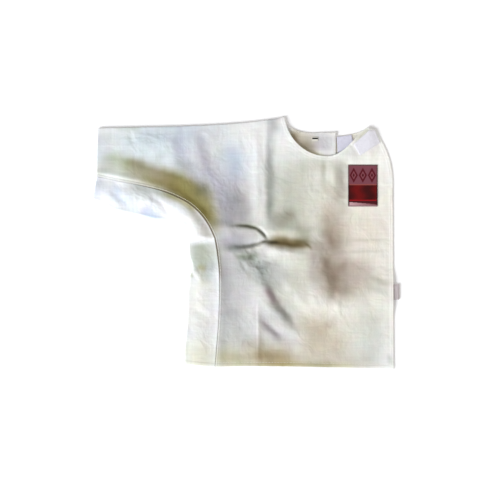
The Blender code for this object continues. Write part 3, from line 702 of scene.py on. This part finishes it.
twill = cotton_twill("cotton_twill_washed")
front_outline = np.concatenate([SHOULDER[:-1], NECK_EDGE[:-1], [FAR_NECK], SIDE_EDGE[:-1],
                                FRONT_HEM[:-1], SEAM[::-1]])
FINE_AT_PINCH = (-60, -34, 100, 54, 1.6)
front_sheet = walled(flat_sheet(front_outline, 3.2, FINE_AT_PINCH), CLOTH)
front = finish_piece("front_cloth", front_sheet, front_lift)
paint(front, FRONT_WHITE, FRONT_SHADES, [NECK_EDGE, SIDE_EDGE, FRONT_HEM], FRONT_BANDS, felled=True)
dress(front, twill, "white_cloth", "front")

# Back. Half a back with the back of the sleeve cut in one, of the same cloth. It lies flat on
# the surface under the front and only its yoke shows, inside the neck, in beige-grey painted
# shade, with the painted shadow of the front's neck edge along it.
BACK_SHADES = [Shade(*row) for row in (
    ("yoke_end", 176, 262, 172, 200, 34, 34, 36, 36, 30),
    ("yoke_low", 118, 234, 168, 212, 9, 9, 18, 20, 24),
    ("yoke", 84, 262, 178, 208, 34, 60, 44, 52, 66, -9, 0.4),
    ("yoke_corner", 92, 262, 122, 222, 18, 20, 40, 50, 62, -10),
    ("neck_shadow", 96, 240, 190, 198, 10, 24, 14, 16, 52, -18, 0.6),
    ("yoke_middle", 144, 240, 168, 236, 7, 7, -14, -14, -8),
)]
BACK_WHITE = "#e4e3e0"
BACK_NECK = bezier(NECK_POINT, (98, 256), (130, 250), BACK_NECK_END, 24)
back_outline = np.concatenate([SHOULDER[:-1], BACK_NECK[:-1], BACK_FREE_EDGE, SEAM[::-1]])
FINE_AT_YOKE = (80, 190, 212, 290, 2.0)
back_sheet = walled(flat_sheet(back_outline, 9.0, FINE_AT_YOKE), CLOTH)
back = finish_piece("back_cloth", back_sheet, lambda x, y: lift_over(BACK_SUPPORTS, x, y))
paint(back, BACK_WHITE, BACK_SHADES, [BACK_NECK, BACK_FREE_EDGE])
dress(back, twill, "white_cloth", "back")

# Underarm panel. One strip of the same cloth from the cuff, under the arm and down the side to
# the hem, folded double along its outer edge and sewn to the front and to the back.
# One section at each corner of the seam: where the fold is, and how full and how round
Section = namedtuple("Section", "name fold_x fold_y swell radius")
SECTIONS = [Section(*row) for row in (
    ("cuff", -350.8, 100.0, 2.5, 2.6),
    ("forearm", -300.0, 76.0, 3.0, 2.8),
    ("mid_arm", -244.0, 63.5, 3.5, 3.0),
    ("upper_arm", -193.0, 52.5, 3.5, 3.2),
    ("arm_root", -160.0, 45.5, 4.0, 3.4),
    ("armpit_top", -144.0, 42.0, 4.5, 3.6),
    ("armpit", -141.5, 30.0, 5.0, 3.8),
    ("tuck_upper", -141.5, 15.0, 5.5, 3.8),
    ("tuck_lower", -134.0, 7.0, 0.4, 2.0),
    ("rib", -130.0, -28.0, 0.6, 2.0),
    ("side_dip", -123.5, -54.0, 1.0, 2.2),
    ("side_fold", -132.5, -90.0, 3.5, 2.8),
    ("waist", -135.0, -132.0, 3.0, 2.8),
    ("hip", -136.5, -185.0, 2.5, 2.6),
    ("low_hip", -141.5, -237.0, 2.5, 2.6),
    ("hem", -143.0, -277.0, 2.0, 2.4),
)]
UNDERARM_FOLDS = [Fold(*row) for row in (
    ("cuff_wrinkle", -320, 132, -262, 78, -2.6, 9, 9),
    ("arm_wrinkle", -236, 120, -166, 60, -3.0, 9, 9, 4),
    ("side_crease", -128, -52, -98, -88, 1.8, 5, 6),
    ("waist_wrinkle", -132, -150, -84, -168, -1.6, 9, 9),
)]
# The panel's shades are mostly painted shade in its dents, hollows and crease and along its fold
UNDERARM_SHADES = [Shade(*row) for row in (
    ("side_low_grey", -104, -165, -98, -240, 26, 26, 14, 14, 16),
    ("side_low_hollow", -84, -34, -90, -96, 16, 16, 24, 22, 20),
    ("side_warm", -108, -56, -94, -108, 16, 14, 14, 15, 26),
    # Painted shade along the panel's outer fold
    ("fold_edge_shade", -140, -90, -144, -285, 12, 12, 14, 13, 14, 0, 0.6),
    ("cuff_soil", -352, 160, -346, 90, 28, 28, 28, 24, 18),
    ("cuff_dent", -322, 128, -238, 76, 15, 12, 26, 20, 12, -4, 0.45),
    ("cuff_dent_high", -312, 142, -284, 108, 7, 7, 16, 12, 8),
    ("arm_dent", -246, 90, -186, 47, 14, 12, 36, 30, 16, -4, 0.45),
    ("lower_edge", -346, 92, -150, 46, 4, 9, 16, 13, 10),
    ("side_hollow", -106, 8, -98, -84, 34, 34, 66, 62, 78, 0, 0.25),
    ("hollow_foot", -116, -50, -88, -62, 9, 9, 20, 28, 48),
    ("crease_shadow", -134, -56, -120, -82, 3, 8, 40, 38, 52),
    ("side_middle", -114, -60, -116, -250, 40, 34, 14, 16, 24, 0, 0.4),
    ("side_hem", -105, -200, -105, -290, 44, 44, 22, 24, 44, 0, 0.8),
)]
UNDERARM_WHITE = "#eef0f2"
SEAM_GAP = 0.4
ROWS = 18
UPPER = 30
TURN = 8
LOWER = 8


def underarm_rows():
    """Sections close enough together for smooth cloth, as columns of numbers."""
    count = len(SECTIONS) - 1
    at = np.linspace(0, count, count * ROWS + 1)
    name, fold_x, fold_y, swell, radius = zip(*SECTIONS)
    edges = [spline(column, at) for column in (*zip(*SEAM_CORNERS), fold_x, fold_y)]
    return edges + [np.interp(at, np.arange(count + 1), column) for column in (swell, radius)]


def underarm_points():
    """The middle of the panel's wall: a row of points for each section, seam to fold to seam."""
    seam_x, seam_y, fold_x, fold_y, swell, radius = (c[:, None] for c in underarm_rows())
    length = np.hypot(fold_x - seam_x, fold_y - seam_y)
    out_x, out_y = (fold_x - seam_x) / length, (fold_y - seam_y) / length
    flat = length - CLOTH / 2 - radius
    low_z = CLOTH / 2
    passed = np.linspace(0, 1, len(seam_x))[:, None]
    seam_z = ON_BACK + CLOTH / 2 + seam_roll(passed, 0)
    fold_z = low_z + 2 * radius
    share = np.arange(UPPER) / UPPER
    upper = SEAM_GAP + (flat - SEAM_GAP) * share
    x, y = seam_x + out_x * upper, seam_y + out_y * upper
    wrinkle = sum(fold.height * along_row(x, y, fold) for fold in UNDERARM_FOLDS)
    rise = swell * np.sin(math.pi * share) ** 2 + wrinkle * ramp(share, 0, 0.3)
    upper_z = seam_z + (fold_z - seam_z) * ramp(share, 0, 1) + np.maximum(rise, 0)
    angle = math.pi * np.arange(TURN + 1) / TURN
    turn = flat + radius * np.sin(angle)
    turn_z = low_z + radius * (1 + np.cos(angle))
    back_share = np.arange(1, LOWER + 1) / LOWER
    lower = flat + (SEAM_GAP - flat) * back_share
    lower_z = np.full(lower.shape, low_z)
    reach = np.concatenate([upper, turn, lower], 1)
    z = np.concatenate([upper_z, turn_z, lower_z], 1)
    return np.stack([seam_x + out_x * reach, seam_y + out_y * reach, z], 2)


def strip_mesh(points):
    """A mesh of quads through a grid of points."""
    rows, columns = points.shape[:2]
    bm = bmesh.new()
    grid = [[bm.verts.new(p) for p in row] for row in points]
    for i in range(rows - 1):
        for j in range(columns - 1):
            bm.faces.new((grid[i][j], grid[i][j + 1], grid[i + 1][j + 1], grid[i + 1][j]))
    return bm


def walled_strip(name, points, thickness):
    """A strip of cloth with its wall to both sides of a grid of points."""
    mesh = bpy.data.meshes.new(name)
    bm = strip_mesh(points * 0.001)
    bm.to_mesh(mesh)
    bm.free()
    mesh.shade_smooth()
    piece = placed(name, mesh)
    wall = piece.modifiers.new("wall", "SOLIDIFY")
    wall.thickness = thickness * 0.001
    wall.offset = 0
    round_off(piece, 0.2 * thickness)
    keep_shape(piece)
    return piece


underarm = walled_strip("underarm_cloth", underarm_points(), CLOTH)
SIDE_HEM = np.array([SEAM[-1], SECTIONS[-1][1:3]])
paint(underarm, UNDERARM_WHITE, UNDERARM_SHADES, [SIDE_HEM], UNDERARM_BANDS)
dress(underarm, twill, "white_cloth", "underarm_panel")

# Neck strap. A cloth strap sewn beneath the back's neck end runs behind the neck to the far
# shoulder, where, when worn, its hook tape grips the loop tape. Both tapes are 38 mm wide.
STRAP_CLOTH = 1.5
TAPE = 1.1
TAPE_WIDTH = 38.0
NECK_STRAP = ((178.0, 226.0), (212.0, 225.5), (248.0, 229.0), (278.0, 243.0))
HOOK_TAPE_START = 0.30
HOOK_TAPE_END = 0.66
HOOK_TAPE_INSET = 0.8


def strap_outline(start, end, inset):
    """Round a stretch of the strap, from one share of its length to another."""
    line = bezier(*NECK_STRAP, 100)
    along = np.gradient(line, axis=0)
    across = np.stack([-along[:, 1], along[:, 0]], 1) / np.hypot(*along.T)[:, None]
    kept = slice(round(100 * start), round(100 * end) + 1, 6)
    middle, out = line[kept], across[kept] * (TAPE_WIDTH / 2 - inset)
    return np.concatenate([middle + out, (middle - out)[::-1]])


def hook_and_loop(name, colour, nap):
    """Nylon hook-and-loop tape: a woven ground with a short crisp nap and plain edges."""
    material, tree, shader = new_material(name)
    place = add(tree, "ShaderNodeTexCoord").outputs["Object"]
    # Loops stand 1.2 mm apart, coarser than the real ones, so that they show
    loops = add(tree, "ShaderNodeTexVoronoi", {"Vector": place, "Scale": 830.0})
    clumps = add(tree, "ShaderNodeTexNoise", {"Vector": place, "Scale": 120.0, "Detail": 2.0})
    low, high = srgb(colour) * 0.86, srgb(colour) * 1.06
    tint = add(tree, "ShaderNodeMix", {"Factor": clumps.outputs["Fac"], 6: (*low, 1),
                                       7: (*high, 1)}, data_type="RGBA")
    height = add(tree, "ShaderNodeMath", {0: loops.outputs["Distance"], 1: nap},
                 operation="MULTIPLY")
    surface(tree, shader, tint.outputs[2], height.outputs[0], 0.8,
            {"Roughness": 0.62, "Sheen Weight": 0.35})
    return material


strap_sheet = walled(flat_sheet(strap_outline(0, 1, 0), 4.0), STRAP_CLOTH)
strap = finish_piece("neck_strap_cloth", strap_sheet, lambda x, y: 0, 0.4)
STRAP_WHITE = "#e8e6e0"
STRAP_SHADES = [Shade("strap_wear", 180, 226, 276, 243, 30, 30, 36, 42, 48, -6)]
paint(strap, STRAP_WHITE, STRAP_SHADES, [strap_outline(0, 1, 0)])
dress(strap, twill, "white_cloth", "neck_strap")
hooks = hook_and_loop("nylon_hook_tape", "#cecddb", 0.0006)
hook_outline = strap_outline(HOOK_TAPE_START, HOOK_TAPE_END, HOOK_TAPE_INSET)
hook_sheet = walled(flat_sheet(hook_outline, 3.0), TAPE)
hook_tape = finish_piece("hook_tape_woven", hook_sheet, lambda x, y: STRAP_CLOTH + CLEARANCE, 0.3)
dress(hook_tape, hooks, "hook_and_loop", "hook_tape")

# Loop tape. The soft half of the fastening, sewn flat on the front's far shoulder.
LOOP_TAPE = np.array([(246.5, 227.5), (261.0, 201.0), (308.0, 231.0), (295.5, 259.0), (282.0, 259.0)])


def front_top(x, y):
    """Height of the upper face of the front."""
    return front_lift(x, y) + CLOTH


def on_front(x, y):
    """Height of a piece that is sewn on the front."""
    return front_top(x, y) + CLEARANCE


loops = hook_and_loop("nylon_loop_tape", "#e2e1e9", 0.0004)
loop_sheet = walled(flat_sheet(LOOP_TAPE, 2.5), TAPE)
loop_tape = finish_piece("loop_tape_woven", loop_sheet, on_front, 0.3)
dress(loop_tape, loops, "hook_and_loop", "loop_tape")

# Chest patch. A woven polyester patch, sewn on by its edge. Its design is generic: a row of
# three lozenges on a dusty maroon ground, a dark red band and a pale stripe, in a dark border.
CHEST_PATCH = (233.7, 84.0, 301.3, 180.0)
PATCH = 0.9
LOZENGE_WIDTH = 21.0
LOZENGE_HEIGHT = 38.0
LOZENGE_MIDDLE = 72.0
BAND_FOOT = 13.5
BAND_HEAD = 49.0
BORDER = 2.6


def rectangle(left, bottom, right, top):
    """Corners of a rectangle."""
    return np.array([(left, bottom), (right, bottom), (right, top), (left, top)])


def between(start, end, share):
    """Colours that go from one hex colour to another, in steps of 255."""
    return steps(start) + (steps(end) - steps(start)) * share[:, None]


def patch_colour(x, y):
    """Colours of the threads at each point of the patch."""
    left, bottom, right, top = CHEST_PATCH
    across, up = x - (left + right) / 2, y - bottom
    tone = np.tile(steps("#76414b"), (len(x), 1))
    half = LOZENGE_WIDTH / 2
    lozenge = (abs(np.mod(across + half, LOZENGE_WIDTH) - half) / half
               + abs(up - LOZENGE_MIDDLE) / (LOZENGE_HEIGHT / 2))
    for size, thread in ((0.92, "#540e1a"), (0.5, "#80464e"), (0.26, "#480812")):
        tone[lozenge < size] = steps(thread)
    tone[(up > BAND_HEAD) & (up < BAND_HEAD + 3)] = steps("#8c4842")
    tone[up < BAND_FOOT] = steps("#420e14")
    band = (up > BAND_FOOT) & (up < BAND_HEAD)
    # Waves of painted sheen lighten and darken the dark red band
    painted_sheen = 0.5 + 0.5 * np.cos((across + 11) / 8 + 0.5 * np.sin(up / 5))
    tone[band] = between("#3a0203", "#660405", painted_sheen)[band]
    # The pale stripe narrows and darkens to the right
    from_left = across + 34
    pale = (up > BORDER) & (up < 10.5 - 0.08 * from_left)
    tone[pale] = between("#c8a4a8", "#744448", np.clip(from_left / 68, 0, 1))[pale]
    tone[(up > BAND_FOOT - 0.5) & (up < BAND_FOOT + 2)] = steps("#960c14")
    border = np.minimum(np.minimum(x - left, right - x), np.minimum(up, top - y)) < BORDER
    tone[border] = steps("#3c0c12")
    tone[border & (up > BAND_HEAD + 1)] = steps("#664648")
    tone[border & (up < BORDER)] = steps("#a08486")
    return srgb(tone)


def woven_threads(name):
    """Woven polyester satin: its own thread colours, with floats that catch a little light."""
    material, tree, shader = new_material(name)
    place = add(tree, "ShaderNodeTexCoord").outputs["Object"]
    tone = add(tree, "ShaderNodeAttribute", attribute_name="tone").outputs["Color"]
    # Floats are 0.9 mm apart, twice the real ones, so that they show
    floats = add(tree, "ShaderNodeTexWave", {"Vector": place, "Scale": 350.0, "Distortion": 1.5},
                 bands_direction="Y")
    height = add(tree, "ShaderNodeMath", {0: floats.outputs["Fac"], 1: 0.00015},
                 operation="MULTIPLY")
    surface(tree, shader, tone, height.outputs[0], 0.7,
            {"Roughness": 0.5, "Specular IOR Level": 0.14, "Sheen Weight": 0.03})
    return material


patch_sheet = walled(flat_sheet(rectangle(*CHEST_PATCH), 0.8), PATCH)
patch = finish_piece("chest_patch_woven", patch_sheet, on_front, 0)
store_tone(patch, patch_colour(*coordinates(patch.data)[:2] * 1000))
satin = woven_threads("polyester_woven_satin")
dress(patch, satin, "woven_patch", "chest_patch")

# Size label. A small satin label caught in the neck seam of the back, plain but for a dark bar.
SIZE_LABEL = (151.0, 234.5, 165.0, 244.0)
LABEL_BAR = (151.6, 239.2, 164.4, 242.6)
LABEL = 0.6


def label_colour(x, y):
    """White satin with a dark bar along its top."""
    tone = np.tile(steps("#cecbc0"), (len(x), 1))
    left, bottom, right, top = LABEL_BAR
    tone[(y > bottom) & (y < top) & (x > left) & (x < right)] = steps("#100c0c")
    return srgb(tone)


label_sheet = walled(flat_sheet(rectangle(*SIZE_LABEL), 0.7), LABEL)
label = finish_piece("size_label_woven", label_sheet,
                     lambda x, y: lift_over(BACK_SUPPORTS, x, y) + ON_BACK, 0)
store_tone(label, label_colour(*coordinates(label.data)[:2] * 1000))
dress(label, satin, "woven_label", "size_label")

# Waist strap. Ribbed elastic from the free edge of the back, under the front, to the far side,
# where its end is turned back on itself and sewn to the front.
ELASTIC = 1.2
ELASTIC_WIDTH = 35.0
WAIST_Y = -112.0
WAIST_ON_BACK = 168.0
WAIST_OFF_BACK = 206.0
WAIST_ON_TABLE = 232.0
WAIST_TURN = 351.4
WAIST_SEWN = 312.0


def waist_points():
    """The middle of the elastic: its path seen from the hem, across its width."""
    high, low, radius = ON_BACK + ELASTIC / 2, ELASTIC / 2, 1.0
    down = np.linspace(0, 1, 9)
    turn_x = WAIST_TURN - ELASTIC / 2 - radius
    angle = np.linspace(0, math.pi, 13)
    x = np.concatenate([[WAIST_ON_BACK], WAIST_OFF_BACK + (WAIST_ON_TABLE - WAIST_OFF_BACK) * down,
                        turn_x + radius * np.sin(angle), [WAIST_SEWN]])
    z = np.concatenate([[high], high + (low - high) * ramp(down, 0, 1),
                        low + radius * (1 - np.cos(angle)), [low + 2 * radius]])
    across = np.linspace(-ELASTIC_WIDTH / 2, ELASTIC_WIDTH / 2, 15) + WAIST_Y
    return np.stack([np.tile(x, (len(across), 1)), np.tile(across[:, None], (1, len(x))),
                     np.tile(z, (len(across), 1))], 2)


def woven_elastic(name):
    """Ribbed polyester elastic, greyed by use: ribs run across the strap, over rubber threads."""
    material, tree, shader = new_material(name)
    place = add(tree, "ShaderNodeTexCoord").outputs["Object"]
    # Ribs are 2.4 mm apart, as coarse as they need to show
    ribs = add(tree, "ShaderNodeTexWave", {"Vector": place, "Scale": 131.0}, bands_direction="X")
    # The ribs are painted lighter on their crests and darker in their grooves, as painted shade
    tint = add(tree, "ShaderNodeMix", {"Factor": ribs.outputs["Fac"], 6: (*srgb("#a2979a"), 1),
                                       7: (*srgb("#d8cfcf"), 1)}, data_type="RGBA")
    height = add(tree, "ShaderNodeMath", {0: ribs.outputs["Fac"], 1: 0.0005}, operation="MULTIPLY")
    surface(tree, shader, tint.outputs[2], height.outputs[0], 1.0,
            {"Roughness": 0.7, "Sheen Weight": 0.2})
    return material


waist = walled_strip("waist_elastic", waist_points(), ELASTIC)
dress(waist, woven_elastic("polyester_elastic_ribbed"), "elastic", "waist_strap")

# Stitching. Polyester thread, lockstitched, three stitches to the centimetre: a white row inside
# each turned edge, beside the underarm seam and round the loop tape, two along the back's neck,
# and a maroon row round the patch. The thread is drawn twice as thick as real, so that it shows.
STITCH_PITCH = 3.4
STITCH_LENGTH = 2.5
STITCH_WIDTH = 0.75


def stitch_tree(thread):
    """Nodes that lay a row of stitches along the lines of a mesh."""
    tree = bpy.data.node_groups.new("stitch_rows", "GeometryNodeTree")
    tree.interface.new_socket("Geometry", in_out="INPUT", socket_type="NodeSocketGeometry")
    for name in ("Pitch", "Length", "Width"):
        tree.interface.new_socket(name, in_out="INPUT", socket_type="NodeSocketFloat")
    tree.interface.new_socket("Geometry", in_out="OUTPUT", socket_type="NodeSocketGeometry")
    given = add(tree, "NodeGroupInput").outputs
    lines = add(tree, "GeometryNodeMeshToCurve", {"Mesh": given["Geometry"]})
    spaced = add(tree, "GeometryNodeResampleCurve", {"Curve": lines.outputs[0],
                                                     "Length": given["Pitch"]}, mode="LENGTH")
    size = add(tree, "ShaderNodeCombineXYZ", {0: given["Length"], 1: given["Width"],
                                              2: given["Width"]})
    bead = add(tree, "GeometryNodeMeshUVSphere", {"Segments": 6, "Rings": 5, "Radius": 0.5})
    stitch = add(tree, "GeometryNodeTransform", {"Geometry": bead.outputs[0],
                                                 "Scale": size.outputs[0]})
    tangent = add(tree, "GeometryNodeInputTangent")
    turned = add(tree, "FunctionNodeAlignRotationToVector", {"Vector": tangent.outputs[0]},
                 axis="X")
    row = add(tree, "GeometryNodeInstanceOnPoints", {"Points": spaced.outputs[0],
                                                     "Instance": stitch.outputs[0],
                                                     "Rotation": turned.outputs[0]})
    real = add(tree, "GeometryNodeRealizeInstances", {"Geometry": row.outputs[0]})
    made = add(tree, "GeometryNodeSetMaterial", {"Geometry": real.outputs[0], "Material": thread})
    add(tree, "NodeGroupOutput", {"Geometry": made.outputs[0]})
    return tree


def spun_thread(name, low, high):
    """Spun polyester thread with a faint twist."""
    material, tree, shader = new_material(name)
    place = add(tree, "ShaderNodeTexCoord").outputs["Object"]
    twist = add(tree, "ShaderNodeTexNoise", {"Vector": place, "Scale": 900.0})
    tint = add(tree, "ShaderNodeMix", {"Factor": twist.outputs["Fac"], 6: (*srgb(low), 1),
                                       7: (*srgb(high), 1)}, data_type="RGBA")
    tree.links.new(tint.outputs[2], shader.inputs["Base Color"])
    shader.inputs["Roughness"].default_value = 0.6
    return material


def moved_in(line, distance):
    """A line moved to its right by a distance."""
    along = np.gradient(line, axis=0)
    length = np.maximum(np.hypot(*along.T), 1e-6)[:, None]
    return line + np.stack([along[:, 1], -along[:, 0]], 1) / length * distance


def stitches(name, rows, thread_material):
    """Sews rows of stitches: each row is a line in x and y, and the surface it is sewn on."""
    places, edges = [], []
    for line, height_at in rows:
        points = close_points(line, 4.0)
        z = height_at(*points.T) + np.zeros(len(points))
        start = len(places)
        places += [(x, y, height) for (x, y), height in zip(points, z)]
        edges += [(start + i, start + i + 1) for i in range(len(points) - 1)]
    mesh = bpy.data.meshes.new(name)
    mesh.from_pydata([tuple(0.001 * v for v in place) for place in places], edges, [])
    piece = placed(name, mesh)
    tree = stitch_tree(thread_material)
    sewing = piece.modifiers.new("stitches", "NODES")
    sewing.node_group = tree
    for item in tree.interface.items_tree:
        size = {"Pitch": STITCH_PITCH, "Length": STITCH_LENGTH, "Width": STITCH_WIDTH}.get(item.name)
        if size:
            sewing[item.identifier] = size * 0.001
    keep_shape(piece)
    return piece


def back_top(x, y):
    """Height of the upper face of the back."""
    return lift_over(BACK_SUPPORTS, x, y) + CLOTH


CORNER_INSET = 1.4


def closed(corners, inset):
    """A closed line inside a ring of corners, each moved in by the diagonal of the inset."""
    inward = corners.mean(0) - corners
    inner = corners + inward / np.hypot(*inward.T)[:, None] * inset * CORNER_INSET
    return np.concatenate([inner, inner[:1]])


sewn_rows = [
    (moved_in(NECK_EDGE, 7), front_top),
    (moved_in(SIDE_EDGE[1:], 7), front_top),
    (moved_in(FRONT_HEM, 9), front_top),
    (moved_in(SEAM, -3.2), front_top),
    (moved_in(BACK_NECK, 4), back_top),
    (moved_in(BACK_FREE_EDGE[:6], 4), back_top),
    (closed(LOOP_TAPE, 2.2), lambda x, y: on_front(x, y) + TAPE),
    (moved_in(BACK_NECK, 1.4), back_top),
]
patch_rows = [(closed(rectangle(*CHEST_PATCH), 1.5), lambda x, y: on_front(x, y) + PATCH)]
white_thread = spun_thread("polyester_thread_white", "#d8d6cf", "#f4f3ef")
dark_thread = spun_thread("polyester_thread_maroon", "#2c1216", "#4a1c22")
for name, rows, thread, slot in (("stitching", sewn_rows, white_thread, "white_cloth"),
                                 ("patch_stitching", patch_rows, dark_thread, "woven_patch")):
    seams = stitches(name, rows, thread)
    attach(seams, "root")

# Floor, light and camera. A white table, a broad lamp far off on the sleeve's side, two weak
# ones overhead and on the far side, and the camera straight above, as in the photograph.
TABLE = 4.0
TABLE_DROP = 0.0005
floor_mesh = bpy.data.meshes.new("table_top")
table_corners = rectangle(-TABLE, -TABLE, TABLE, TABLE)
floor_mesh.from_pydata([(*corner, 0) for corner in table_corners], [], [(0, 1, 2, 3)])
floor = placed("table_top", floor_mesh)
floor.location.z = -TABLE_DROP
paper, _, paper_shader = new_material("matt_white_paper")
paper_shader.inputs["Base Color"].default_value = (*srgb("#fbfbfb"), 1)
paper_shader.inputs["Roughness"].default_value = 0.9
floor_mesh.materials.append(paper)


def lamp(name, place, size, power, colour):
    """A square soft lamp that faces the middle of the garment."""
    light = bpy.data.lights.new(name, "AREA")
    light.size = size
    light.energy = power
    light.color = srgb(colour)
    source = placed(name, light)
    source.location = place
    x, y, z = place
    source.rotation_euler = (math.atan2(math.hypot(x, y), z), 0, math.atan2(y, x) + math.pi / 2)


lamp("sleeve_side_lamp", (-6.6, -4.4, 4.2), 4.6, 1230, "#f9fbff")
lamp("overhead_lamp", (0.3, 0.4, 3.2), 2.6, 14, "#ffffff")
lamp("far_side_lamp", (2.6, 0.9, 1.1), 1.4, 26, "#fff2e4")
world = bpy.data.worlds.new("studio")
bpy.context.scene.world = world
world.use_nodes = True
sky = world.node_tree.nodes["Background"]
sky.inputs["Color"].default_value = (*srgb("#f6f8fb"), 1)
sky.inputs["Strength"].default_value = 0.34
bpy.context.scene.view_settings.view_transform = "Standard"

camera_data = bpy.data.cameras.new("overhead_camera")
camera_data.lens = 78.26
camera_data.sensor_width = 36
camera = placed("overhead_camera", camera_data)
camera.location = (0.0085, -0.0156, 2.5)
bpy.context.scene.camera = camera
